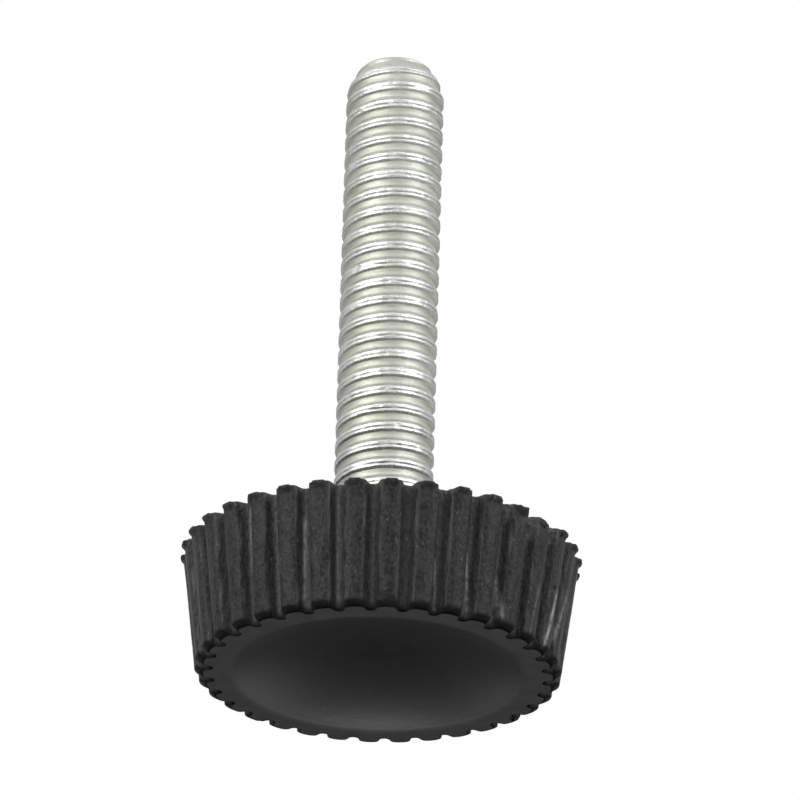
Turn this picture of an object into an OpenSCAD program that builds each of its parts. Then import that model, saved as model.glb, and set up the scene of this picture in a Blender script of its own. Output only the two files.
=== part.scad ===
// Thumb screw: a moulded grip head with teeth round its wall, on a steel stud with a
// right-hand thread. The head stands on its rim with the stud pointing up along +Z.
// Millimetres.

/* [Head] */
// Diameter over the lip at the rear edge
head_d = 25.4; // [24:0.1:32]
// Height from the face rim to the rear face
head_h = 8; // [7:0.1:12]
// Draft of the gripping wall, which narrows towards the face (degrees)
wall_draft = 7.3; // [0:0.1:10]
// How far the lip at the rear edge stands out from the gripping wall
lip_w = 0.22; // [0.1:0.02:0.4]
// Height of the lip, which slopes out over its lower half
lip_h = 0.44; // [0.4:0.02:0.8]
// Rounding of the rear edge
rear_edge_r = 0.14; // [0.05:0.01:0.18]
// Diameter of the seat boss round the stud
seat_d = 12; // [10:0.5:16]
// Height of the seat boss above the rear face
seat_h = 0.3; // [0.2:0.1:2]

/* [Grip teeth] */
// Number of teeth
tooth_count = 34; // [24:1:38]
// Depth of the valleys between the teeth
valley_depth = 0.8; // [0.5:0.02:0.9]
// Angle between the two flanks of a valley (degrees)
valley_angle = 36; // [30:1:60]
// Radius at the bottom of a valley
valley_r = 0.32; // [0.1:0.02:0.34]
// Radius of the shoulders of a tooth
shoulder_r = 0.3; // [0.1:0.01:0.34]

/* [Face] */
// Width of the flat rim that the head stands on
rim_w = 1.72; // [1:0.02:3]
// Gap between the tooth crests and the flat rim, seen from the face
bevel_w = 0.42; // [0.3:0.02:1.2]
// Height of the bevel that trims the tooth ends
bevel_h = 0.24; // [0.1:0.01:0.6]
// Depth of the dish in the middle of the face
dish_depth = 1.8; // [0.8:0.1:2]
// Rounding of the edge of the dish
dish_edge_r = 1.5; // [0.2:0.1:3]

/* [Stud] */
// Major diameter of the thread
stud_d = 6.35; // [5:0.05:8]
// Length from the seat boss to the tip
stud_l = 34.3; // [16:0.1:60]
// Thread pitch
thread_pitch = 1.27; // [1:0.01:1.5]
// Depth of the rolled groove
thread_depth = 0.45; // [0.3:0.01:0.6]
// Share of the pitch that the flat crest takes
crest_share = 0.42; // [0.2:0.01:0.5]
// Share of the pitch that the bottom of the groove takes
root_share = 0.14; // [0.05:0.01:0.3]
// Where the thread's ridge starts, as an angle round the stud from +X (degrees)
thread_start = 203; // [0:1:359]
// Height of the chamfer at the tip
tip_h = 2.2; // [1:0.1:3]
// Diameter of the end face of the tip
tip_d = 4.3; // [3:0.1:4.5]
// Rounding of the end face
tip_edge_r = 0.6; // [0.2:0.1:0.8]

/* [Anchor in the moulding] */
// Size of the hexagonal anchor across its flats
anchor_af = 9.5; // [8.5:0.1:11]
// Thickness of the anchor
anchor_h = 2.8; // [1.5:0.1:3]
// Plastic between the dish and the anchor
anchor_cover = 1.1; // [0.8:0.1:1.5]
// How far the collar between the anchor and the seat stands out beyond the thread
collar_w = 0.4; // [0.2:0.1:1]

/* [Hidden] */
$fn = 96;

// Heights above the face
seat_z = head_h + seat_h;
tip_z = seat_z + stud_l;
anchor_z = dish_depth + anchor_cover;

// Radii of the head: the wall starts inside the lip at the rear edge, and runs down with
// its draft to the face
rear_r = head_d / 2;
lip_z = head_h - lip_h;
face_r = rear_r - lip_w - lip_z * tan(wall_draft);
rim_r = face_r - bevel_w;
dish_r = rim_r - rim_w;
collar_r = stud_d / 2 + collar_w;
function wall_r(z) = face_r + z * tan(wall_draft);

// Sphere that forms the dish, with the circle that rounds its edge
dish_sphere_r = (dish_r * dish_r + dish_depth * dish_depth) / (2 * dish_depth);
dish_sphere_z = dish_depth - dish_sphere_r;
edge_x = sqrt(pow(dish_sphere_r + dish_edge_r, 2) - pow(dish_edge_r - dish_sphere_z, 2));
edge_share = dish_sphere_r / (dish_sphere_r + dish_edge_r);
edge_end = [edge_x * edge_share, dish_sphere_z + (dish_edge_r - dish_sphere_z) * edge_share];

// Valley section: tooth shoulder and valley floor, to one side of its middle
flank_a = valley_angle / 2;
floor_tangent = [valley_r * cos(flank_a), valley_r * (1 - sin(flank_a)) - valley_depth];
mouth_x = floor_tangent.x - floor_tangent.y * tan(flank_a);
shoulder_x = mouth_x + shoulder_r * tan((90 - flank_a) / 2);
shoulder_tangent = [shoulder_x - shoulder_r * cos(flank_a), shoulder_r * (sin(flank_a) - 1)];
wall_l = head_h / cos(wall_draft);
// How far a cutting shape runs past the solid that it cuts
overrun = 1.5;

// Thread: the crests stay this much inside the nominal size, as a plated thread's do
thread_allowance = 0.03;
thread_r = stud_d / 2 - thread_allowance;
// Plain lengths at the nominal size next to the seat and to the chamfer
land_h = 0.6;
thread_z0 = seat_z + land_h;
thread_z1 = tip_z - tip_h - land_h;
// The groove fades out over this length at each end
fade_h = thread_pitch;
// The threaded length reaches this far into the lands
sink = 0.1;
thread_sides = 24;
// Profile of one turn: where each corner lies along the pitch, and how deep it is
flank_share = (1 - crest_share - root_share) / 2;
turn_at = [0, crest_share, crest_share + flank_share, 1 - flank_share];
turn_depth = [0, 0, 1, 1];
turn_corners = len(turn_at);
bottom_z = thread_z0 - sink;
top_z = thread_z1 + sink;
// Three turns more than the length holds, so that the rows run past both ends
turns = ceil((top_z - bottom_z) / thread_pitch) + 3;
last_row = turns * turn_corners;

function unit(v) = v / norm(v);

// Half of the angle at corner b, between its neighbours a and c
function half_angle(a, b, c) = acos(unit(a - b) * unit(c - b)) / 2;

// Closed outline of corners [x, y, r], where r > 0 rounds a convex corner
module rounded_outline(corners) {
    n = len(corners);
    at = [for (c = corners) [c.x, c.y]];
    polygon([for (i = [0:n - 1])
        let (a = at[(i + n - 1) % n], b = at[i], c = at[(i + 1) % n], r = corners[i].z)
        each r > 0
            ? [b + unit(a - b) * r / tan(half_angle(a, b, c)), b + unit(c - b) * r / tan(half_angle(a, b, c))]
            : [b]]);
    for (i = [0:n - 1])
        let (a = at[(i + n - 1) % n], b = at[i], c = at[(i + 1) % n], r = corners[i].z)
        if (r > 0)
            translate(b + unit(unit(a - b) + unit(c - b)) * r / sin(half_angle(a, b, c))) circle(r);
}

// Half section of the head before the teeth are cut
module head_section() {
    difference() {
        rounded_outline([
            [0, 0, 0],
            [rim_r, 0, 0],
            [wall_r(bevel_h), bevel_h, 0],
            [wall_r(lip_z), lip_z, 0],
            [rear_r, head_h - lip_h / 2, 0],
            [rear_r, head_h, rear_edge_r],
            [seat_d / 2, head_h, 0],
            [seat_d / 2, seat_z, 0],
            [0, seat_z, 0]]);
        translate([0, dish_sphere_z]) circle(dish_sphere_r, $fn = 360);
        difference() {
            polygon([[edge_end.x, -overrun], [edge_x, -overrun], [edge_x, 0], edge_end]);
            translate([edge_x, dish_edge_r]) circle(dish_edge_r);
        }
    }
}

// Section of one valley, with the tooth crests at y = 0
module valley_section() {
    difference() {
        polygon([
            [-shoulder_x, overrun],
            [-shoulder_x, 0],
            [-shoulder_tangent.x, shoulder_tangent.y],
            [-floor_tangent.x, floor_tangent.y],
            floor_tangent,
            shoulder_tangent,
            [shoulder_x, 0],
            [shoulder_x, overrun]]);
        for (side = [-1, 1]) translate([side * shoulder_x, -shoulder_r]) circle(shoulder_r);
    }
    translate([0, valley_r - valley_depth]) circle(valley_r);
}

// Valleys between the teeth, parallel to the drafted wall
module valleys() {
    for (i = [0:tooth_count - 1])
        rotate([0, 0, (i + 0.5) * 360 / tooth_count])
            translate([face_r, 0, 0])
                rotate([0, wall_draft, 0])
                    translate([0, 0, -overrun])
                        linear_extrude(wall_l + 2 * overrun) rotate(-90) valley_section();
}

// Part of the stud that the head is moulded round
module anchor() {
    translate([0, 0, anchor_z]) cylinder(h = anchor_h, d = anchor_af / cos(30), $fn = 6);
    translate([0, 0, anchor_z]) cylinder(h = seat_z - anchor_z, r = collar_r);
}

module knurled_head() {
    color([0.12, 0.12, 0.13])
    difference() {
        rotate_extrude() head_section();
        valleys();
        anchor();
    }
}

// Height of a row of thread corners at one side of the stud, before it is trimmed
function row_z(row, side) = bottom_z + thread_pitch * (floor(row / turn_corners) - 2
    + turn_at[row % turn_corners] + side / thread_sides + thread_start / 360);

// How much of the groove's depth is there at a height
function fade(z) = max(0, min(1, (z - thread_z0) / fade_h, (thread_z1 - z) / fade_h));

function thread_point(row, side) =
    let (z = max(bottom_z, min(top_z, row_z(row, side))),
        r = thread_r - thread_depth * turn_depth[row % turn_corners] * fade(z),
        a = 360 * side / thread_sides)
    [r * cos(a), r * sin(a), z];

// Helical ridge and core as one closed solid: rows of corners that climb with the helix
// and are trimmed flat at both ends, where the groove has faded out
module threaded_length() {
    first = [for (s = [0:thread_sides - 1])
        max([for (row = [0:last_row]) if (row_z(row, s) <= bottom_z) row])];
    last = [for (s = [0:thread_sides - 1])
        min([for (row = [0:last_row]) if (row_z(row, s) >= top_z) row])];
    // One side further round, a row has climbed; past the last side it is one turn up
    function trimmed(row, s) = max(first[s], min(last[s], row));
    function corner(row, s) = s == thread_sides
        ? trimmed(row + turn_corners, 0)
        : trimmed(row, s) + s * (last_row + 1);
    polyhedron(
        points = [for (s = [0:thread_sides - 1]) for (row = [0:last_row]) thread_point(row, s)],
        faces = [
            [for (s = [0:thread_sides - 1]) first[s] + s * (last_row + 1)],
            [for (s = [thread_sides - 1:-1:0]) last[s] + s * (last_row + 1)],
            for (s = [0:thread_sides - 1]) for (row = [0:last_row - 1])
                let (a = corner(row, s), b = corner(row, s + 1))
                let (c = corner(row + 1, s + 1), d = corner(row + 1, s))
                each [if (a != b && b != c && a != c) [a, c, b], if (a != c && c != d && a != d) [a, d, c]]]);
}

// Half section of the tip, from the last plain land to the rounded end face
module tip_section() {
    rounded_outline([
        [0, 0, 0],
        [stud_d / 2, 0, 0],
        [stud_d / 2, land_h, 0],
        [tip_d / 2, land_h + tip_h, tip_edge_r],
        [0, land_h + tip_h, 0]]);
}

module threaded_stud() {
    color("silver") {
        anchor();
        translate([0, 0, seat_z]) cylinder(h = land_h, d = stud_d);
        threaded_length();
        translate([0, 0, thread_z1]) rotate_extrude() tip_section();
    }
}

knurled_head();
threaded_stud();
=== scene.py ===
"""Looks of the thumb screw: a moulded black grip head on a zinc-plated stud with a rolled thread."""

import math

import bpy
import numpy as np
from mathutils import Matrix, Vector


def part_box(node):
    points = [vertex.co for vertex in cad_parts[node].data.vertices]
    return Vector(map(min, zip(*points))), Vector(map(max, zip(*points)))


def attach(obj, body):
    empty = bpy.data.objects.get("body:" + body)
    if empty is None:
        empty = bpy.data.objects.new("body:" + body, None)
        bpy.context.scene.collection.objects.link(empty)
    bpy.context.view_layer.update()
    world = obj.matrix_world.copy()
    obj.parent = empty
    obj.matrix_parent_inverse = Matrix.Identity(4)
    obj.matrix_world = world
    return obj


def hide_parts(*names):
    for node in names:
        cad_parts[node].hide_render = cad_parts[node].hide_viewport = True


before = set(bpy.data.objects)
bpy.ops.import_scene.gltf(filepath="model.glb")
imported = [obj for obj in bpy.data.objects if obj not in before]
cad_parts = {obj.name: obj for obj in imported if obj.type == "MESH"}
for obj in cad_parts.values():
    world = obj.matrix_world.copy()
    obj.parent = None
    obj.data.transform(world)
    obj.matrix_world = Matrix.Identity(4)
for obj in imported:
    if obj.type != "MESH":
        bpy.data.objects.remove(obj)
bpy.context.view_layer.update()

# ---------------------------------------------------------------- sizes, in millimetres
MM = 0.001
HEAD_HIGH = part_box("knurled_head")[1] / MM
STUD_LOW, STUD_HIGH = (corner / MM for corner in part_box("threaded_stud"))

# the head's body and the low boss that the screw seats on
HEAD_R = HEAD_HIGH.x
SEAT_Z = HEAD_HIGH.z
SEAT_R = 6.0
SEAT_H = 0.3
HEAD_H = SEAT_Z - SEAT_H
DRAFT = math.radians(7.3)
# the lip at the rear ends of the teeth
LIP_W = 0.22
LIP_H = 0.44
LIP_Z = HEAD_H - LIP_H
# the face: bevelled tooth ends, flat rim and dish
FACE_R = HEAD_R - LIP_W - LIP_Z * math.tan(DRAFT)
BEVEL_W = 0.42
BEVEL_H = 0.24
RIM_R = FACE_R - BEVEL_W
RIM_W = 1.72
DISH_R = RIM_R - RIM_W
DISH_DEPTH = 1.8
DISH_EDGE_ROUND = 1.5
# how far the rim follows the valleys inwards, as a share of their depth, and the least bevel left there
RIM_FOLLOW = 0.75
LEAST_BEVEL_W = 0.04
LEAST_BEVEL_H = 0.05
# rounding of the head's edges
RIM_ROUND = 0.06
BEVEL_ROUND = 0.11
LIP_ROUND = 0.07
REAR_ROUND = 0.14

TEETH = 34
TOOTH_STEP = 2 * math.pi / TEETH
# how much the middle of a tooth stands above its shoulders
CROWN = 0.07
VALLEY_DEPTH = 0.80
VALLEY_FLANK = math.radians(18)
VALLEY_ROUND = 0.32
SHOULDER_ROUND = 0.30

# the stud: the crests of a plated thread stay just inside its nominal 6.35 mm
STUD_R = 3.163
PITCH = 1.27
# a turn of the thread's ridge starts at this height, at this angle round the stud
THREAD_LOW = SEAT_Z + 0.5
THREAD_START = math.radians(203)
TIP_Z = STUD_HIGH.z
TIP_H = 2.2
TIP_R = 2.15
# the exponent that makes the tip's side bulge
TIP_BULGE = 1.7
# the curve over to the flat end, and how far it lies inside the side
TIP_CURVE_W = 0.45
TIP_CURVE_H = 0.32
TIP_CURVE_IN = 0.02
THREAD_HIGH = TIP_Z - TIP_CURVE_H
COLLAR_R = 3.575
ANCHOR_Z = STUD_LOW.z
ANCHOR_H = 2.8
ANCHOR_FLAT_R = 4.75


# ---------------------------------------------------------------- noise and curves
# large numbers that scatter the noise's cells, and a shift that keeps the cells' own numbers above zero
HASH_AXES = np.array((374761393, 668265263, 2147483647))
HASH_SEED = 1442695041
HASH_MIX = 1274126177
HASH_SHIFT = 1000.0


def value_noise(points, size, seed):
    """Smooth noise from -1 to 1 at points (n, 3), with lumps about size across."""
    p = np.asarray(points, float) / size + HASH_SHIFT
    cell = np.floor(p).astype(np.int64)
    f = p - cell
    f = f * f * (3 - 2 * f)
    total = np.zeros(len(p))
    for corner in range(8):
        offset = np.array([(corner >> axis) & 1 for axis in range(3)])
        h = (cell + offset) @ HASH_AXES + seed * HASH_SEED
        h = (h ^ (h >> 13)) * HASH_MIX
        value = ((h ^ (h >> 16)) & 0xFFFF) / 32767.5 - 1.0
        weight = np.prod(np.where(offset == 1, f, 1 - f), axis=1)
        total += weight * value
    return total


def bezier(t, start, bend, end):
    """Place at share t of a curve from start to end that leaves and arrives in the direction of bend."""
    return (1 - t) ** 2 * start + 2 * t * (1 - t) * bend + t * t * end


# the most of a side that the rounding of a corner takes up
MOST_OF_SIDE = 0.49


def fillet(corners, sizes, steps):
    """Rounds the inner corners of open outlines, all at once.

    corners is (outline, corner, 2), and sizes says for each corner how far its rounding reaches along its
    sides. Returns rows of points, one for each step along the outlines.
    """
    rows = [corners[:, 0]]
    for i in range(1, corners.shape[1] - 1):
        at = corners[:, i]
        ends = []
        for neighbour in (corners[:, i - 1], corners[:, i + 1]):
            length = np.linalg.norm(neighbour - at, axis=1)
            reach = np.minimum(sizes[i], MOST_OF_SIDE * length)
            ends.append(at + (neighbour - at) * (reach / np.maximum(length, 1e-9))[:, None])
        for t in np.linspace(0, 1, steps + 1):
            rows.append(bezier(t, ends[0], at, ends[1]))
    rows.append(corners[:, -1])
    return rows


# ---------------------------------------------------------------- meshes
def ring_points(radius, angle, z):
    """Points at a radius and a height for every angle."""
    return np.stack([radius * np.cos(angle), radius * np.sin(angle), np.broadcast_to(z, angle.shape)], -1)


def bridge(first, second):
    """Faces between two rings of point numbers, where one may have several points to each of the other's."""
    count = min(len(first), len(second))
    faces = []
    for j in range(count):
        sides = []
        for ring in (first, second):
            per = len(ring) // count
            sides.append([ring[(j * per + step) % len(ring)] for step in range(per + 1)])
        faces.append(sides[1] + sides[0][::-1])
    return faces


class Surface:
    """Points in millimetres, their paint and the faces between them, gathered for one mesh."""

    def __init__(self):
        self.points = []
        self.count = 0
        self.paint = {}
        self.faces = []
        self.slots = []

    def add(self, points, **paint):
        """Adds points with a value or values of every paint, and returns their numbers."""
        first = self.count
        self.count += len(points)
        self.points.append(points)
        for name, values in paint.items():
            self.paint.setdefault(name, []).append(np.broadcast_to(values, len(points)))
        return list(range(first, self.count))

    def join(self, faces, slot=0):
        """Adds faces that show the material in a slot."""
        self.faces += faces
        self.slots += [slot] * len(faces)

    def close(self, ring, z, slot=0, **paint):
        """Closes a ring with triangles to a new point on the axis."""
        (pole,) = self.add(np.array([[0.0, 0.0, z]]), **paint)
        self.join([[ring[j - 1], ring[j], pole] for j in range(len(ring))], slot)

    def build(self, name, materials):
        """Makes the smooth shaded object, without the points that no face uses."""
        used = np.zeros(self.count, bool)
        for face in self.faces:
            used[face] = True
        renumber = np.cumsum(used) - 1
        faces = [renumber[face].tolist() for face in self.faces]
        mesh = bpy.data.meshes.new(name)
        mesh.from_pydata((np.concatenate(self.points)[used] * MM).tolist(), [], faces)
        for material in materials:
            mesh.materials.append(material)
        mesh.polygons.foreach_set("use_smooth", [True] * len(faces))
        mesh.polygons.foreach_set("material_index", self.slots)
        for key, values in self.paint.items():
            layer = mesh.attributes.new(key, "FLOAT", "POINT")
            layer.data.foreach_set("value", np.concatenate(values)[used].astype(np.float32))
        mesh.validate()
        mesh.update()
        obj = bpy.data.objects.new(name, mesh)
        bpy.context.scene.collection.objects.link(obj)
        return obj


# ---------------------------------------------------------------- the grip head
# its material slots
WALL, FACE = 0, 1
# places on the half crest of a tooth, between its shoulder and its middle
CREST_SHARES = (0.25, 0.5, 0.75)
ARC_STEPS = 5
# the face and the hidden surfaces have one column for so many of the wall's, a whole share of a tooth's 28
COARSE = 7
ROUND_STEPS = 3
WALL_ROWS = 58
DISH_ROWS = 20
DISH_EDGE_ROWS = 7
# the rings of the flat rim: the last coarse one and the first fine one
RIM_COARSE_R = 9.75
RIM_FINE_R = 10.15
# how far the wall's outline reaches in on the rim and on the rear face
RIM_OVERLAP = 0.1
REAR_OVERLAP = 0.5
# the rings of the rear face and of the seat
REAR_RINGS = (10.5, 8.5)
SEAT_RING = 4.6
# rounded foot of the boss, outwards from its side and up from the rear face
SEAT_FOOT = ((0.12, 0.0), (0.03, 0.03), (0.0, 0.1))
# rounded edge of the boss, inwards from its side and down from the seat
SEAT_EDGE = ((0.0, 0.08), (0.03, 0.02), (0.1, 0.0))
# the edge where the seat meets the collar
COLLAR_EDGE = 0.04


def valley_half_section():
    """Points (x, y) from the middle of a valley to the tooth's shoulder: x along the wall, y outwards."""
    turn = math.pi / 2 - VALLEY_FLANK
    floor_x = VALLEY_ROUND * math.cos(VALLEY_FLANK)
    floor_y = VALLEY_ROUND * (1 - math.sin(VALLEY_FLANK)) - VALLEY_DEPTH
    mouth_x = floor_x - floor_y * math.tan(VALLEY_FLANK)
    shoulder_x = mouth_x + SHOULDER_ROUND * math.tan(turn / 2)
    floor, shoulder = [], []
    for a in np.linspace(0, turn, ARC_STEPS):
        floor.append((VALLEY_ROUND * math.sin(a), VALLEY_ROUND * (1 - math.cos(a)) - VALLEY_DEPTH))
        shoulder.append((shoulder_x - SHOULDER_ROUND * math.sin(a), SHOULDER_ROUND * (math.cos(a) - 1)))
    shoulder.reverse()
    flank = (np.array(floor[-1]) + np.array(shoulder[0])) / 2
    return np.array(floor + [tuple(flank)] + shoulder)


def head_columns():
    """Where each column round the head lies: (valley angle, x, y, crest share).

    x and y are its place in the valley section. The crest share runs from 0 at the shoulder to 1 at the next
    tooth's middle, and from 0 to -1 towards the tooth before.
    """
    half = valley_half_section()
    end_x = half[-1][0]
    columns = []
    for tooth in range(TEETH):
        valley = (tooth + 0.5) * TOOTH_STEP
        columns += [(valley, -end_x, 0.0, -share) for share in reversed(CREST_SHARES)]
        columns += [(valley, -x, y, 0.0) for x, y in reversed(half[1:])]
        columns += [(valley, x, y, 0.0) for x, y in half]
        columns += [(valley, end_x, 0.0, share) for share in (*CREST_SHARES, 1.0)]
    return np.array(columns)


def column_place(columns, z):
    """Radius and angle of every column at height z, with the lip at the rear ends of the teeth."""
    valley, x, y, share = columns.T
    wall = FACE_R + z * math.tan(DRAFT)
    crowned = y - CROWN * (1 - np.abs(share)) ** 2
    radius = np.hypot(wall + crowned, x)
    angle = np.arctan2(x, wall + crowned)
    target = np.sign(share) * TOOTH_STEP / 2
    angle = angle + (target - angle) * np.abs(share)
    rise = np.clip((z - LIP_Z) / (LIP_H / 2), 0, 1) * (share != 0)
    return np.minimum(radius, wall) + rise * (HEAD_R - wall), valley + angle


def dish_rows():
    """Radius and height of the dish, from its middle to the flat rim."""
    sphere_r = (DISH_R**2 + DISH_DEPTH**2) / (2 * DISH_DEPTH)
    sphere_z = DISH_DEPTH - sphere_r
    edge_x = math.sqrt((sphere_r + DISH_EDGE_ROUND) ** 2 - (DISH_EDGE_ROUND - sphere_z) ** 2)
    end_x = edge_x * sphere_r / (sphere_r + DISH_EDGE_ROUND)
    rows = []
    for x in np.linspace(0, end_x, DISH_ROWS)[1:]:
        rows.append((x, sphere_z + math.sqrt(sphere_r**2 - x * x)))
    slope = math.asin((edge_x - end_x) / DISH_EDGE_ROUND)
    for a in np.linspace(slope, 0, DISH_EDGE_ROWS)[1:]:
        rows.append((edge_x - DISH_EDGE_ROUND * math.sin(a), DISH_EDGE_ROUND * (1 - math.cos(a))))
    return rows


def rim_radius(columns):
    """Where the flat rim ends, scalloped like the teeth, and the wall's radius above it."""
    wall, _ = column_place(columns, 0.0)
    return np.minimum(RIM_R - RIM_FOLLOW * (FACE_R - wall), wall - LEAST_BEVEL_W), wall


def wall_outline(columns):
    """Rows of (radius, z) up the outside of the head, from the flat rim to the rear face."""
    rim, wall = rim_radius(columns)
    bevel_top = np.clip((wall - rim) * BEVEL_H / BEVEL_W, LEAST_BEVEL_H, BEVEL_H)
    corners = [(rim - RIM_OVERLAP, 0.0), (rim, 0.0)]
    for z in (bevel_top, LIP_Z, HEAD_H - LIP_H / 2, HEAD_H):
        corners.append((column_place(columns, z)[0], z))
    corners.append((corners[-1][0] - REAR_OVERLAP, HEAD_H))
    corners = [np.stack([radius, np.broadcast_to(z, radius.shape)], 1) for radius, z in corners]
    sizes = (0, RIM_ROUND, BEVEL_ROUND, LIP_ROUND, LIP_ROUND, REAR_ROUND, 0)
    rows = fillet(np.stack(corners, 1), sizes, ROUND_STEPS)
    bevel_end = 1 + 2 * (ROUND_STEPS + 1)
    low, high = rows[bevel_end - 1], rows[bevel_end]
    middle = [low + (high - low) * share for share in np.linspace(0, 1, WALL_ROWS + 2)[1:-1]]
    return rows[:bevel_end] + middle + rows[bevel_end:]


def face_rings(columns):
    """Rings of points over the dish and out on the flat rim."""
    angle = column_place(columns, 0.0)[1]
    rings = [ring_points(radius, angle[::COARSE], z) for radius, z in dish_rows()]
    rings.append(ring_points(RIM_COARSE_R, angle[::COARSE], 0.0))
    rings.append(ring_points(RIM_FINE_R, angle, 0.0))
    return rings


def wall_rings(columns):
    """Rings up the outside of the head, of which the first lies on the rim and the last on the rear face."""
    rings = []
    for row in wall_outline(columns):
        radius, z = row.T
        rings.append(ring_points(radius, column_place(columns, z)[1], z))
    return rings


def hexagon_radius(angle):
    """Radius of the anchor's hexagon, which has its corners at multiples of 60 degrees."""
    return ANCHOR_FLAT_R / np.cos(np.mod(angle, math.pi / 3) - math.pi / 6)


def rear_rings(columns):
    """Rings over the rear face, the boss and the seat, and inside round the collar and the anchor."""
    rows = [(radius, HEAD_H) for radius in REAR_RINGS]
    rows += [(SEAT_R + out, HEAD_H + up) for out, up in SEAT_FOOT]
    rows += [(SEAT_R - inwards, SEAT_Z - down) for inwards, down in SEAT_EDGE]
    rows += [(SEAT_RING, SEAT_Z), (COLLAR_R + COLLAR_EDGE, SEAT_Z), (COLLAR_R, SEAT_Z - COLLAR_EDGE)]
    angle = column_place(columns, HEAD_H)[1][::COARSE]
    anchor = hexagon_radius(angle)
    anchor_top = ANCHOR_Z + ANCHOR_H
    rows += [(COLLAR_R, anchor_top), (anchor, anchor_top), (anchor, ANCHOR_Z), (COLLAR_R, ANCHOR_Z)]
    return [ring_points(radius, angle, z) for radius, z in rows]


def build_head(materials):
    """The head in one closed surface, with its wear."""
    columns = head_columns()
    hollow = -columns[:, 2] / VALLEY_DEPTH
    on_rim, *on_wall, on_rear = wall_rings(columns)
    rings = [(FACE, points) for points in [*face_rings(columns), on_rim]]
    rings += [(WALL, points) for points in on_wall]
    rings += [(FACE, points) for points in [on_rear, *rear_rings(columns)]]

    surface = Surface()
    numbers = []
    for slot, points in rings:
        ring_hollow = hollow[:: len(hollow) // len(points)]
        scuff = 0.0
        if slot == WALL:
            points, scuff = wear_and_glints(points, ring_hollow)
        numbers.append(surface.add(points, hollow=ring_hollow, scuff=scuff))
    for i in range(len(rings) - 1):
        # where the wall meets the face, the face's material is shown
        surface.join(bridge(numbers[i], numbers[i + 1]), max(rings[i][0], rings[i + 1][0]))
    surface.close(numbers[0], DISH_DEPTH, FACE, hollow=0.0, scuff=0.0)
    surface.close(numbers[-1][::-1], ANCHOR_Z, FACE, hollow=0.0, scuff=0.0)
    return surface.build("grip_head", materials)


# ---------------------------------------------------------------- wear of the head, and painted glints
# places on the wall are given by tooth, counted to the right from the one nearest the camera, and height
FRONT_TOOTH = -8 * TOOTH_STEP
# unevenness of the moulding: how far it settles everywhere, then depth, size and seed of its lumps, and the
# long ripples down the teeth that the mould left; all of it fades out over the foot of the wall
SETTLE = 0.016
LUMPS = ((0.010, 0.28, 1), (0.014, 0.90, 2))
RIPPLE_DEPTH, RIPPLE_SIZE, RIPPLE_SEED = 0.008, 0.30, 3
RIPPLE_STRETCH = (1, 1, 0.12)
FOOT_H = 0.4
# dents: tooth, height, half width, half height, then how far the surface is pushed inwards and down
DENTS = (
    (4.85, 7.75, 1.30, 0.34, 0.10, 0.20),
    (3.95, 7.45, 0.50, 0.60, 0.17, 0.08),
    (4.45, 7.90, 0.35, 0.55, 0.10, 0.22),
    (5.15, 8.00, 0.60, 0.45, 0.16, 0.26),
    (5.55, 7.20, 0.20, 0.30, 0.35, 0.05),
    (4.35, 6.75, 0.60, 0.22, 0.12, 0.00),
    (6.35, 7.75, 0.28, 0.35, 0.26, 0.10),
    (6.60, 6.15, 0.14, 0.14, 0.20, 0.00),
    (5.90, 4.15, 0.16, 0.16, 0.16, 0.00),
    (-5.40, 7.90, 0.24, 0.50, 0.30, 0.34),
    (-1.30, 8.00, 0.25, 0.30, 0.05, 0.08),
    (1.70, 8.00, 0.20, 0.30, 0.08, 0.10),
    (9.30, 7.90, 0.45, 0.40, 0.20, 0.12),
    (14.2, 7.90, 0.35, 0.40, 0.16, 0.10),
    (-12.4, 7.80, 0.40, 0.40, 0.22, 0.12),
    (20.72, 0.00, 0.13, 0.45, 0.42, 0.00),
    (11.8, 0.00, 0.18, 0.35, 0.22, 0.00),
)
# valleys that smeared plastic partly fills: tooth, height, half width, half height, share of the depth
SMEARS = (
    (3.60, 7.50, 0.50, 0.70, 0.55),
    (4.55, 7.30, 0.60, 0.90, 0.75),
    (5.50, 7.40, 0.60, 0.80, 0.70),
    (6.45, 7.50, 0.40, 0.50, 0.40),
)
# raggedness of both: strength, size and seed, and the most that it makes of a smear
JAGGED, JAGGED_SIZE, JAGGED_SEED = 0.5, 0.25, 4
MOST_SMEARED = 1.2
# painted glints in thin light lines along the wall: tooth and height of both ends, half width, strength
PAINTED_GLINTS = (
    (6.10, 4.05, 5.83, 0.30, 0.15, 1.00),
    (6.90, 4.80, 6.65, 1.00, 0.10, 0.45),
    (5.05, 3.60, 4.90, 0.40, 0.08, 0.30),
    (3.56, 3.20, 3.72, 0.60, 0.09, 0.55),
    (2.44, 4.20, 2.62, 0.25, 0.09, 0.65),
    (1.42, 3.40, 1.52, 0.15, 0.08, 0.45),
    (-1.55, 7.30, -1.55, 0.45, 0.08, 0.30),
    (-2.56, 6.00, -2.62, 0.60, 0.08, 0.65),
    (-4.15, 7.20, -4.25, 2.80, 0.09, 0.35),
)
# how quickly they fade at their ends
GLINT_FADE = 8
# the tooth end that is chipped off at the face: tooth, half width in teeth, height and depth
CHIP = (-0.02, 0.42, 0.98, 0.36)
# its ragged edge, how steep its sides are, and the height over which it deepens from a share at its foot
CHIP_JAGGED, CHIP_JAGGED_SIZE, CHIP_SEED = 0.25, 0.3, 5
CHIP_STEEP = 1.6
CHIP_FOOT_H = 0.25
CHIP_FOOT_SHARE = 0.1


def around(teeth):
    """The shorter way round the head, in teeth."""
    return np.mod(teeth + TEETH / 2, TEETH) - TEETH / 2


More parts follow.
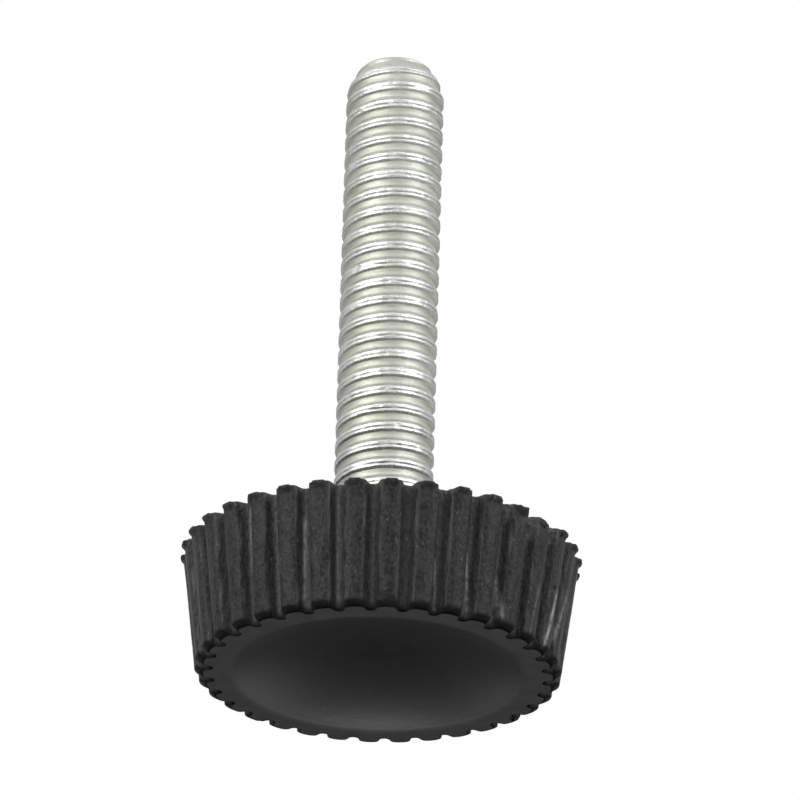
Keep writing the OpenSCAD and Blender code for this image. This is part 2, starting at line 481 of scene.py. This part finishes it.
def unevenness(place):
    """How far inwards the moulding left each point of the wall."""
    depth = SETTLE
    for lump_depth, size, seed in LUMPS:
        depth = depth + lump_depth * value_noise(place, size, seed)
    ripple = value_noise(place * RIPPLE_STRETCH, RIPPLE_SIZE, RIPPLE_SEED)
    return np.clip(place[:, 2] / FOOT_H, 0, 1) * (depth + RIPPLE_DEPTH * (1 + ripple))


def spot_share(tooth, radius, z, spot):
    """How far each point lies in a round spot given by tooth, height, half width and half height, 0 to 1."""
    at, height, half_w, half_h = spot
    arc = around(tooth - at) * TOOTH_STEP * radius / half_w
    return np.exp(-((arc**2 + ((z - height) / half_h) ** 2) ** 1.5))


def chip_depth(tooth, place):
    """How far the chip takes each point inwards."""
    at, half, height, depth = CHIP
    z = place[:, 2]
    edge = 1 - np.abs(tooth - at) / half + CHIP_JAGGED * value_noise(place, CHIP_JAGGED_SIZE, CHIP_SEED)
    slant = np.clip(edge * CHIP_STEEP, 0, 1) * height - z
    return np.clip(slant / height, 0, 1) * np.clip(z / CHIP_FOOT_H, CHIP_FOOT_SHARE, 1) * depth


def scuff_share(tooth, radius, z):
    """How much painted glint the thin light lines give each point of the wall, 0 to 1."""
    share = np.zeros(len(z))
    for tooth_0, z_0, tooth_1, z_1, half_w, strength in PAINTED_GLINTS:
        t = (z - z_0) / (z_1 - z_0)
        across = (tooth - tooth_0 - (tooth_1 - tooth_0) * t) * TOOTH_STEP * radius / half_w
        along = np.clip(np.minimum(t, 1 - t) * GLINT_FADE + 0.5, 0, 1)
        share = np.maximum(share, strength * along * np.exp(-(across**2)))
    return share


def wear_and_glints(place, hollow):
    """Points of the wall with unevenness, dents, smears and the chip, and how much painted glint each point
    has.
    """
    radius = np.hypot(place[:, 0], place[:, 1])
    angle = np.arctan2(place[:, 1], place[:, 0])
    z = place[:, 2]
    tooth = around((angle - FRONT_TOOTH) / TOOTH_STEP)
    jagged = 1 + JAGGED * value_noise(place, JAGGED_SIZE, JAGGED_SEED)
    inwards = unevenness(place) + chip_depth(tooth, place)
    down = np.zeros(len(z))
    for *spot, depth, drop in DENTS:
        share = spot_share(tooth, radius, z, spot) * jagged
        inwards += depth * share
        down += drop * share
    for *spot, fill in SMEARS:
        share = spot_share(tooth, radius, z, spot) * np.minimum(jagged, MOST_SMEARED)
        inwards -= fill * share * hollow * VALLEY_DEPTH
    return ring_points(radius - inwards, angle, z - down), scuff_share(tooth, radius, z)


# ---------------------------------------------------------------- the stud
STUD_SIDES = 112
STUD_ANGLES = 2 * math.pi * np.arange(STUD_SIDES) / STUD_SIDES
# one turn of the rolled thread: place along the pitch, depth below the crest, how much of the crest's bright
# burnish and painted sheen there is, and how much grime and painted shade
TURN = (
    (0.000, 0.060, 1.0, 0.2),
    (0.020, 0.014, 1.0, 0.1),
    (0.055, 0.000, 1.0, 0.0),
    (0.100, 0.002, 1.0, 0.0),
    (0.140, 0.008, 0.9, 0.0),
    (0.168, 0.022, 0.7, 0.3),
    (0.190, 0.055, 0.4, 0.8),
    (0.205, 0.058, 0.4, 0.8),
    (0.228, 0.022, 0.7, 0.3),
    (0.255, 0.008, 1.0, 0.0),
    (0.290, 0.003, 1.0, 0.0),
    (0.325, 0.008, 0.9, 0.1),
    (0.350, 0.006, 1.0, 0.0),
    (0.385, 0.014, 1.0, 0.0),
    (0.415, 0.032, 1.0, 0.0),
    (0.440, 0.054, 1.0, 0.0),
    (0.470, 0.084, 0.9, 0.0),
    (0.505, 0.116, 0.8, 0.0),
    (0.550, 0.152, 0.6, 0.0),
    (0.600, 0.184, 0.4, 0.0),
    (0.650, 0.206, 0.2, 0.0),
    (0.705, 0.220, 0.1, 0.0),
    (0.760, 0.226, 0.0, 0.0),
    (0.815, 0.222, 0.0, 0.0),
    (0.865, 0.212, 0.0, 0.0),
    (0.910, 0.206, 0.2, 0.0),
    (0.945, 0.198, 0.5, 0.0),
    (0.970, 0.176, 0.9, 0.0),
    (0.986, 0.124, 1.0, 0.2),
)
# how far the lips wander along the pitch, with the size and the seed of that noise
WANDER, WANDER_SIZE, WANDER_SEED = 0.012, 0.45, 11
# the lap in the crest: its first and last place along the pitch, then how open it is: mean, most, and the
# strength, size and seed of the noise
LAP = (0.150, 0.245)
LAP_OPEN, LAP_MOST_OPEN = 0.7, 1.6
LAP_NOISE = ((0.7, 0.9, 12), (0.8, 0.25, 14))
# small nicks in the crest, up to its last place along the pitch, where their noise is above a level
NICK_DEPTH, NICK_SIZE, NICK_SEED = 0.07, 0.2, 13
NICK_LEVEL = 0.20
CREST_END = 0.45
# the underside of the lips, from one place along the pitch round to the other, then the direction of the
# side on which painted shade darkens it, and how dark
UNDER_LIP = (0.955, 0.012)
LIP_SHADE_SIDE = math.radians(-133)
LIP_SHADE = 0.9
# the grooves begin this far above the seat, and are whole one pitch further up
THREAD_RUN_OUT = 0.25
# the grooves grow shallower over this height, which ends above the tip, but keep this share of their depth
TIP_FADE_H = 2.6
TIP_FADE_ABOVE = 0.6
TIP_FADE_SHARE = 0.5
# radius at which the noise is taken, whatever the groove's depth
NOISE_R = 3.0
# burnish and painted sheen, and grime and painted shade, of the plain surfaces at both ends
PLAIN = {"burnish": 0.5, "grime": 0.0}
TIP_CURVE_ROWS = 8
TIP_RINGS = (1.2, 0.6)


def tip_radius(z):
    """Radius of the blank under the thread: full, then rounded off towards the tip."""
    up = np.clip((TIP_Z - z) / TIP_H, 0, 1)
    return TIP_R + (STUD_R - TIP_R) * (1 - (1 - up) ** TIP_BULGE)


def rolled_surface(angle, z):
    """Radius, burnish with painted sheen, and grime with painted shade, of the rolled surface at an angle
    and a height.
    """
    cylinder = ring_points(NOISE_R, angle, z).reshape(-1, 3)

    def rough(size, seed):
        return value_noise(cylinder, size, seed).reshape(z.shape)

    turn = (z - THREAD_LOW) / PITCH - (angle + THREAD_START) / (2 * math.pi)
    u = np.mod(turn + WANDER * rough(WANDER_SIZE, WANDER_SEED), 1.0)
    rows = np.array([*TURN, (1.0, *TURN[0][1:])])
    depth, burnish, grime = (np.interp(u, rows[:, 0], rows[:, part]) for part in (1, 2, 3))
    in_lap = (u > LAP[0]) & (u < LAP[1])
    open_lap = LAP_OPEN
    for strength, size, seed in LAP_NOISE:
        open_lap = open_lap + strength * rough(size, seed)
    open_lap = np.clip(open_lap, 0.0, LAP_MOST_OPEN)
    depth = np.where(in_lap, depth * open_lap, depth)
    grime = np.where(in_lap, grime * open_lap, grime)
    depth = depth + NICK_DEPTH * np.clip(rough(NICK_SIZE, NICK_SEED) - NICK_LEVEL, 0, 1) * (u < CREST_END)
    # painted shade under the lips, strongest on one side of the stud
    under_lip = (u > UNDER_LIP[0]) | (u < UNDER_LIP[1])
    dull = LIP_SHADE * np.cos((angle - LIP_SHADE_SIDE) / 2) ** 10
    grime = np.where(under_lip, np.maximum(grime, dull), grime)
    near_tip = np.clip((TIP_Z - z + TIP_FADE_ABOVE) / TIP_FADE_H, TIP_FADE_SHARE, 1)
    near_seat = np.clip((z - SEAT_Z - THREAD_RUN_OUT) / PITCH, 0, 1)
    return tip_radius(z) - depth * near_tip * near_seat, burnish, grime * near_tip * near_seat


def add_thread(surface):
    """Adds the thread, in rows that climb with it. Returns the rings of points at its foot and its top."""
    per_turn = len(TURN)
    # the rows start three turns early, so that some lie below the seat on every side
    turns = math.ceil((THREAD_HIGH - SEAT_Z) / PITCH) + 4
    base = THREAD_LOW + PITCH * (THREAD_START / (2 * math.pi) - 3)
    row = np.arange(turns * per_turn + 1)
    along = np.array([place for place, *_ in TURN])
    side = np.arange(STUD_SIDES)
    z = base + PITCH * (row // per_turn + along[row % per_turn])[:, None] + PITCH * side / STUD_SIDES
    # each side is cut off at the seat and below the tip's curve
    first = np.sum(z <= SEAT_Z, axis=0) - 1
    last = np.sum(z < THREAD_HIGH, axis=0)
    z = np.clip(z, SEAT_Z, THREAD_HIGH)
    angle = np.broadcast_to(STUD_ANGLES, z.shape)
    radius, burnish, grime = rolled_surface(angle, z)
    points = ring_points(radius, angle, z).reshape(-1, 3)
    surface.add(points, burnish=burnish.reshape(-1), grime=grime.reshape(-1))

    number = np.clip(row[:, None], first, last) * STUD_SIDES + side
    # past the last side, a row goes on as the row one turn higher
    closing = np.clip(row[:, None] + per_turn, first[:1], last[:1]) * STUD_SIDES
    number = np.hstack([number, closing]).tolist()
    faces = []
    for s in side:
        for low, high in zip(number[:-1], number[1:]):
            face = list(dict.fromkeys((low[s], low[s + 1], high[s + 1], high[s])))
            if len(face) > 2:
                faces.append(face)
    surface.join(faces)
    return (first * STUD_SIDES + side).tolist(), (last * STUD_SIDES + side).tolist()


def tip_rows():
    """Radius and height over the tip, a short curve and then the flat end."""
    start_r = float(tip_radius(THREAD_HIGH)) - TIP_CURVE_IN
    rows = []
    for t in np.linspace(0, 1, TIP_CURVE_ROWS + 1)[1:]:
        radius = bezier(t, start_r, TIP_R - TIP_CURVE_IN, TIP_R - TIP_CURVE_W)
        rows.append((radius, bezier(t, THREAD_HIGH, TIP_Z, TIP_Z)))
    return rows + [(radius, TIP_Z) for radius in TIP_RINGS]


def anchor_rows():
    """Radius and height down the collar and the hexagonal anchor, which the moulding hides."""
    # a hair past the corners, which would otherwise fall to either side
    hexagon = hexagon_radius(STUD_ANGLES + 1e-9)
    anchor_top = ANCHOR_Z + ANCHOR_H
    return [(COLLAR_R, SEAT_Z), (COLLAR_R, anchor_top), (hexagon, anchor_top), (hexagon, ANCHOR_Z)]


def build_stud(material):
    """The stud in one closed surface."""
    surface = Surface()
    foot, top = add_thread(surface)
    for ring, rows, upwards in ((top, tip_rows(), True), (foot, anchor_rows(), False)):
        for radius, z in rows:
            further = surface.add(ring_points(radius, STUD_ANGLES, z), **PLAIN)
            surface.join(bridge(further, ring) if upwards else bridge(ring, further))
            ring = further
        surface.close(ring if upwards else ring[::-1], z, **PLAIN)
    return surface.build("rolled_stud", [material])


# ---------------------------------------------------------------- shader nodes
class NodeKit:
    """Makes and joins the nodes of one material or of the world."""

    def __init__(self, tree):
        self.nodes = tree.nodes
        self.links = tree.links

    def new(self, kind):
        return self.nodes.new("ShaderNode" + kind)

    def feed(self, socket, value):
        """Gives a socket another node's output, a colour or a number."""
        if isinstance(value, bpy.types.NodeSocket):
            self.links.new(value, socket)
        elif isinstance(value, tuple):
            socket.default_value = (*value, 1)
        else:
            socket.default_value = value

    def math(self, operation, *values):
        node = self.new("Math")
        node.operation = operation
        for socket, value in zip(node.inputs, values):
            self.feed(socket, value)
        return node.outputs[0]

    def attribute(self, name):
        """A paint of the mesh."""
        node = self.new("Attribute")
        node.attribute_name = name
        return node.outputs["Fac"]

    def split(self, vector):
        """The x, y and z of a vector."""
        node = self.new("SeparateXYZ")
        self.feed(node.inputs[0], vector)
        return tuple(node.outputs)

    def axis_distance(self, coords):
        """Distance from the z axis."""
        flat = self.new("VectorMath")
        flat.operation = "MULTIPLY"
        flat.inputs[1].default_value = (1, 1, 0)
        self.feed(flat.inputs[0], coords)
        length = self.new("VectorMath")
        length.operation = "LENGTH"
        self.feed(length.inputs[0], flat.outputs["Vector"])
        return length.outputs["Value"]

    def noise(self, coords, size, detail, roughness, finer=(1, 1, 1)):
        """Noise with lumps about size millimetres across, which are finer by a factor along each axis."""
        mapping = self.new("Mapping")
        mapping.inputs["Scale"].default_value = [times / (size * MM) for times in finer]
        self.feed(mapping.inputs["Vector"], coords)
        node = self.new("TexNoise")
        node.inputs["Scale"].default_value = 1.0
        node.inputs["Detail"].default_value = detail
        node.inputs["Roughness"].default_value = roughness
        self.feed(node.inputs["Vector"], mapping.outputs["Vector"])
        return node.outputs["Fac"]

    def ramp(self, value, low, high, stops=(0.35, 0.65)):
        """Runs from one number to another while the value runs from one stop to the other."""
        node = self.new("MapRange")
        for name, number in zip(("From Min", "From Max", "To Min", "To Max"), (*stops, low, high)):
            node.inputs[name].default_value = number
        self.feed(node.inputs["Value"], value)
        return node.outputs["Result"]

    def colour_ramp(self, value, low, high, stops=(0.35, 0.65)):
        """Runs from one colour to another while the value runs from one stop to the other."""
        node = self.new("ValToRGB")
        for element, stop, colour in zip(node.color_ramp.elements, stops, (low, high)):
            element.position = stop
            element.color = (*colour, 1)
        self.feed(node.inputs["Fac"], value)
        return node.outputs["Color"]

    def band(self, value, low, middle, high):
        """1 at the middle value, falling to 0 at the low one and the high one."""
        node = self.new("ValToRGB")
        for element, stop in zip(node.color_ramp.elements, (low, high)):
            element.position = stop
            element.color = (0, 0, 0, 1)
        node.color_ramp.elements.new(middle).color = (1, 1, 1, 1)
        self.feed(node.inputs["Fac"], value)
        return node.outputs["Color"]

    def mix_colour(self, share, first, second):
        node = self.new("Mix")
        node.data_type = "RGBA"
        self.feed(node.inputs["Factor"], share)
        self.feed(node.inputs["A"], first)
        self.feed(node.inputs["B"], second)
        return node.outputs["Result"]

    def bump(self, height, distance, below=None):
        """Bump of a distance in millimetres, over another bump or none."""
        node = self.new("Bump")
        node.inputs["Strength"].default_value = 1.0
        node.inputs["Distance"].default_value = distance * MM
        self.feed(node.inputs["Height"], height)
        if below is not None:
            self.feed(node.inputs["Normal"], below)
        return node.outputs["Normal"]

    def background(self, strength):
        """White light of a strength."""
        node = self.new("Background")
        node.inputs["Color"].default_value = (1, 1, 1, 1)
        self.feed(node.inputs["Strength"], strength)
        return node.outputs["Background"]

    def mix_shader(self, share, first, second):
        node = self.new("MixShader")
        for socket, value in zip(node.inputs, (share, first, second)):
            self.feed(socket, value)
        return node.outputs["Shader"]


def new_material(name):
    material = bpy.data.materials.new(name)
    material.use_nodes = True
    kit = NodeKit(material.node_tree)
    return material, kit, kit.nodes["Principled BSDF"]


def grey(level):
    return (level, level, level)


# ---------------------------------------------------------------- materials
def wall_plastic():
    """The toothed side of the head: rough black plastic with light grains and streaks down the teeth."""
    material, kit, shader = new_material("wall_plastic")
    coords = kit.new("TexCoord").outputs["Object"]
    hollow = kit.attribute("hollow")
    grain = kit.noise(coords, 0.20, 3, 0.65, (1, 1, 0.7))
    streak = kit.noise(coords, 0.45, 3, 0.6, (1, 1, 0.2))
    sparkle_spots = kit.noise(coords, 0.28, 2, 0.6, (1, 1, 0.7))
    # dark crests with lighter streaks down them, and valleys painted paler, painted light against their
    # shade
    crest = kit.colour_ramp(grain, grey(0.006), (0.032, 0.032, 0.033), (0.36, 0.66))
    crest = kit.mix_colour(kit.ramp(streak, 0.0, 0.5, (0.45, 0.70)), crest, grey(0.046))
    valley = kit.colour_ramp(grain, grey(0.040), (0.092, 0.092, 0.093), (0.36, 0.66))
    colour = kit.mix_colour(hollow, crest, valley)
    # painted highlights in light streaks along the shoulders, and light specks of painted sparkle
    shoulder = kit.band(hollow, 0.02, 0.14, 0.50)
    painted_shoulder_highlight = kit.math("MULTIPLY", shoulder, kit.ramp(streak, 0.0, 0.9, (0.44, 0.66)))
    colour = kit.mix_colour(painted_shoulder_highlight, colour, grey(0.10))
    colour = kit.mix_colour(kit.ramp(sparkle_spots, 0.0, 0.8, (0.66, 0.76)), colour, (0.13, 0.13, 0.135))
    # painted shade darkens the foot, most on the teeth and less in the valleys, and the foot shines less
    _, _, z = kit.split(coords)
    foot = kit.ramp(z, 0.85, 0.0, (0.24 * MM, 0.52 * MM))
    painted_foot_shade = kit.colour_ramp(hollow, grey(0.008), grey(0.032), (0.20, 0.75))
    colour = kit.mix_colour(foot, colour, painted_foot_shade)
    # painted glints in thin light lines, broken up by the specks
    painted_glint_lines = kit.math("MULTIPLY", kit.attribute("scuff"), kit.ramp(sparkle_spots, 0.25, 1.0, (0.36, 0.58)))
    colour = kit.mix_colour(painted_glint_lines, colour, (0.42, 0.42, 0.43))
    kit.feed(shader.inputs["Base Color"], colour)
    kit.feed(shader.inputs["Roughness"], kit.ramp(grain, 0.32, 0.46))
    kit.feed(shader.inputs["Specular IOR Level"], kit.ramp(foot, 0.22, 0.11, (0.0, 0.85)))
    kit.feed(shader.inputs["Normal"], kit.bump(grain, 0.06, kit.bump(streak, 0.08)))
    return material


def face_plastic():
    """The face of the head: black plastic, polished in the dish and duller on the rim and the rear."""
    material, kit, shader = new_material("face_plastic")
    coords = kit.new("TexCoord").outputs["Object"]
    radius = kit.axis_distance(coords)
    _, _, z = kit.split(coords)
    on_rim = kit.ramp(radius, 0.0, 1.0, (8.95 * MM, 9.45 * MM))
    on_rear = kit.ramp(z, 0.0, 1.0, (2.5 * MM, 3.5 * MM))
    dull = kit.math("MAXIMUM", on_rim, on_rear)
    cloud = kit.noise(coords, 1.4, 4, 0.6)
    fine = kit.noise(coords, 0.12, 3, 0.6)
    # the dish is darkest in its middle and painted lighter towards its edge, a painted reflection
    outwards = kit.ramp(radius, 0.0, 1.0, (2.0 * MM, 9.2 * MM))
    dish_with_painted_reflection = kit.mix_colour(outwards, kit.colour_ramp(cloud, grey(0.006), grey(0.009)), grey(0.013))
    rim = kit.colour_ramp(cloud, grey(0.009), grey(0.016))
    kit.feed(shader.inputs["Base Color"], kit.mix_colour(dull, dish_with_painted_reflection, rim))
    kit.feed(shader.inputs["Roughness"], kit.ramp(dull, 0.29, 0.50, (0.0, 1.0)))
    kit.feed(shader.inputs["Specular IOR Level"], 0.25)
    kit.feed(shader.inputs["Normal"], kit.bump(fine, 0.004, kit.bump(cloud, 0.012)))
    return material


def zinc():
    """Zinc plate: dull olive grey in the grooves, burnished where the rolling dies pressed the crests, and
    painted lighter there as a painted highlight.
    """
    material, kit, shader = new_material("zinc_plate")
    coords = kit.new("TexCoord").outputs["Object"]
    burnish = kit.attribute("burnish")
    tint = kit.noise(coords, 1.8, 4, 0.6)
    drawn = kit.noise(coords, 0.9, 4, 0.65, (1, 1, 9))
    fine = kit.noise(coords, 0.12, 3, 0.6)
    groove = kit.colour_ramp(tint, (0.48, 0.50, 0.42), (0.58, 0.60, 0.52))
    crest = kit.colour_ramp(tint, (0.66, 0.66, 0.64), grey(0.76))
    # the burnished crests are painted lighter, partly as a painted highlight
    colour = kit.mix_colour(burnish, groove, crest)
    # grime in the laps, and painted shade under the lips
    colour = kit.mix_colour(kit.attribute("grime"), colour, (0.38, 0.38, 0.35))
    # darker lines drawn round the stud
    colour = kit.mix_colour(kit.ramp(drawn, 0.0, 0.6, (0.56, 0.72)), colour, (0.30, 0.30, 0.27))
    kit.feed(shader.inputs["Base Color"], colour)
    kit.feed(shader.inputs["Metallic"], 1.0)
    roughness = kit.math("ADD", kit.ramp(burnish, 0.52, 0.30, (0.0, 1.0)), kit.ramp(fine, -0.06, 0.06))
    kit.feed(shader.inputs["Roughness"], roughness)
    # the crests are finely uneven as well
    uneven = kit.math("MULTIPLY", fine, burnish)
    kit.feed(shader.inputs["Normal"], kit.bump(uneven, 0.028, kit.bump(drawn, 0.020)))
    return material


def floor_paint():
    """Pale paint that is clear from below, where the camera is."""
    material, kit, shader = new_material("floor_paint")
    kit.feed(shader.inputs["Base Color"], grey(0.9))
    kit.feed(shader.inputs["Roughness"], 0.9)
    kit.feed(shader.inputs["Specular IOR Level"], 0.1)
    behind = kit.new("NewGeometry").outputs["Backfacing"]
    clear = kit.new("BsdfTransparent").outputs["BSDF"]
    paint = kit.mix_shader(behind, shader.outputs["BSDF"], clear)
    kit.feed(kit.nodes["Material Output"].inputs["Surface"], paint)
    return material


# ---------------------------------------------------------------- camera, floor and light
CAMERA_DISTANCE = 500.0
# direction from the object to the camera
CAMERA_ELEVATION = math.radians(-24.68)
CAMERA_AZIMUTH = math.radians(-87.14)
CAMERA_ROLL = math.radians(-1.7)
CAMERA_FOCAL_PX = 7848.0
# the point in the middle of the image: how far to the right of the axis, and its height
CAMERA_TARGET_RIGHT = 0.885
CAMERA_TARGET_Z = 19.06
IMAGE_PX = 800
SENSOR_MM = 36.0
FLOOR_R = 600.0
# the ring where the floor's fine faces round the head end
FLOOR_FINE_R = 60.0
# how far the floor lies below the face
FLOOR_DROP = 0.01
# how far the floor reaches in under the head's rim
FLOOR_UNDER_RIM = 0.09


def add_camera():
    """Camera below the floor, looking up at the screw."""
    data = bpy.data.cameras.new("camera")
    data.sensor_width = SENSOR_MM
    data.lens = CAMERA_FOCAL_PX / IMAGE_PX * SENSOR_MM
    data.clip_start = 0.01
    data.clip_end = 10.0
    camera = bpy.data.objects.new("camera", data)
    bpy.context.scene.collection.objects.link(camera)
    level = math.cos(CAMERA_ELEVATION)
    outwards = Vector((math.cos(CAMERA_AZIMUTH), math.sin(CAMERA_AZIMUTH), 0.0))
    away = outwards * level + Vector((0, 0, math.sin(CAMERA_ELEVATION)))
    right = Vector((-outwards.y, outwards.x, 0.0))
    up = away.cross(right)
    side = right * math.cos(CAMERA_ROLL) - up * math.sin(CAMERA_ROLL)
    top = right * math.sin(CAMERA_ROLL) + up * math.cos(CAMERA_ROLL)
    target = right * CAMERA_TARGET_RIGHT + Vector((0, 0, CAMERA_TARGET_Z))
    matrix = Matrix((side, top, away)).transposed().to_4x4()
    matrix.translation = (target + away * CAMERA_DISTANCE) * MM
    camera.matrix_world = matrix
    bpy.context.scene.camera = camera


def add_floor():
    """Pale floor, seen only from above and open under the head, so that light reaches the face."""
    columns = head_columns()
    angle = column_place(columns, 0.0)[1]
    opening = rim_radius(columns)[0] - FLOOR_UNDER_RIM
    surface = Surface()
    hole = surface.add(ring_points(opening, angle, -FLOOR_DROP))
    ring = surface.add(ring_points(FLOOR_FINE_R, angle[::COARSE], -FLOOR_DROP))
    edge = surface.add(ring_points(FLOOR_R, angle[::COARSE], -FLOOR_DROP))
    surface.join(bridge(hole, ring) + bridge(ring, edge))
    surface.build("floor", [floor_paint()])


def add_lamp(name, place, target, size, power, colour=(1, 1, 1)):
    """Rectangular lamp: place, target and size in millimetres, power in watts."""
    data = bpy.data.lights.new(name, "AREA")
    data.shape = "RECTANGLE"
    data.size, data.size_y = size[0] * MM, size[1] * MM
    data.energy = power
    data.color = colour
    lamp = bpy.data.objects.new(name, data)
    bpy.context.scene.collection.objects.link(lamp)
    lamp.location = Vector(place) * MM
    lamp.rotation_euler = (Vector(target) - Vector(place)).to_track_quat("-Z", "Y").to_euler()


def add_world():
    """White behind the object and in its reflections above the horizon, softer as a light."""
    world = bpy.data.worlds.new("studio")
    bpy.context.scene.world = world
    world.use_nodes = True
    kit = NodeKit(world.node_tree)
    x, y, z = kit.split(kit.new("TexCoord").outputs["Generated"])
    path = kit.new("LightPath").outputs
    soft = kit.background(kit.ramp(z, 0.25, 0.45, (-0.3, 0.3)))
    # the shine behind the object reaches further down than in front, and is dimmer
    raised = kit.math("ADD", z, kit.ramp(y, 0.0, 0.13, (0.2, 0.9)))
    above = kit.ramp(raised, 0.08, 1.0, (0.02, 0.42))
    shine = kit.math("MULTIPLY", above, kit.ramp(y, 1.0, 0.55, (0.0, 0.9)))
    # two soft lights below, to the left and the right, that the sides of the dish show
    sideways = kit.math("ABSOLUTE", kit.math("ADD", x, 0.06))
    sides = kit.ramp(sideways, 0.0, 1.5, (0.20, 0.36))
    below = kit.ramp(z, 1.0, 0.0, (-0.62, -0.20))
    shine = kit.math("ADD", shine, kit.math("MULTIPLY", sides, below))
    light = kit.mix_shader(path["Is Glossy Ray"], soft, kit.background(shine))
    seen = kit.math("MAXIMUM", path["Is Camera Ray"], path["Is Transmission Ray"])
    kit.feed(kit.nodes["World Output"].inputs["Surface"], kit.mix_shader(seen, light, kit.background(1.0)))


# ---------------------------------------------------------------- the scene
head = build_head([wall_plastic(), face_plastic()])
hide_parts("knurled_head")
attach(head, "root")

stud = build_stud(zinc())
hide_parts("threaded_stud")
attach(stud, "root")

add_camera()
add_floor()
add_world()
add_lamp("key", (-182, -203, 140), (0, 0, 15), (220, 220), 0.46, (1.0, 0.99, 0.94))
add_lamp("fill", (238, -128, 140), (0, 0, 15), (160, 220), 0.32, (0.96, 0.98, 1.0))
add_lamp("low", (0, 56, -147), (0, 0, 0), (240, 46), 0.22)

bpy.context.scene.view_settings.view_transform = "Standard"
